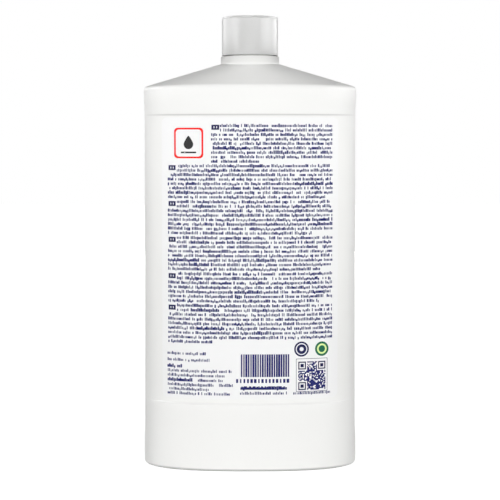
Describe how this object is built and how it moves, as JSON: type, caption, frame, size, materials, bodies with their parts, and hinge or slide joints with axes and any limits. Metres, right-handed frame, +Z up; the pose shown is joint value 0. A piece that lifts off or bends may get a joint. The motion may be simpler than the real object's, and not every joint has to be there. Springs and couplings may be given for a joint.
{
  "type": "floor cleaner bottle",
  "caption": "Tall flat oval plastic bottle with a sloping shoulder, recessed label panel, threaded neck and smooth screw cap.",
  "frame": {"origin": "on the floor under the middle of the body, which is also on the axis of the neck", "axes": "+Z up along the neck axis, X along the wide side of the oval, -Y out of the labelled back panel"},
  "size_m": [0.115, 0.0566, 0.2406],
  "materials": {
    "bottle_plastic": "white blow-moulded polyethylene, soft satin",
    "cap_plastic": "off-white injection-moulded polypropylene, satin gloss",
    "liner_foam": "white foamed polyethylene disc",
    "label_film": null
  },
  "bodies": {
    "bottle": {"bottle": "bottle_plastic", "back_label": "label_film"},
    "seal": {"cap_liner": "liner_foam"},
    "cap": {"screw_cap": "cap_plastic"}
  },
  "joints": [
    {"name": "cap_lift", "type": "slide", "parent": "bottle", "child": "seal", "axis": [0, 0, 1], "range_m": [0, 0.00706]},
    {"name": "cap_turn", "type": "hinge", "parent": "seal", "child": "cap", "pos_m": [0, 0, 0.23], "axis": [0, 0, 1], "range_deg": [0, 600]}
  ],
  "couplings": [
    {"joint": "cap_lift", "follows": "cap_turn", "m_per_rad": 0.00067323}
  ]
}
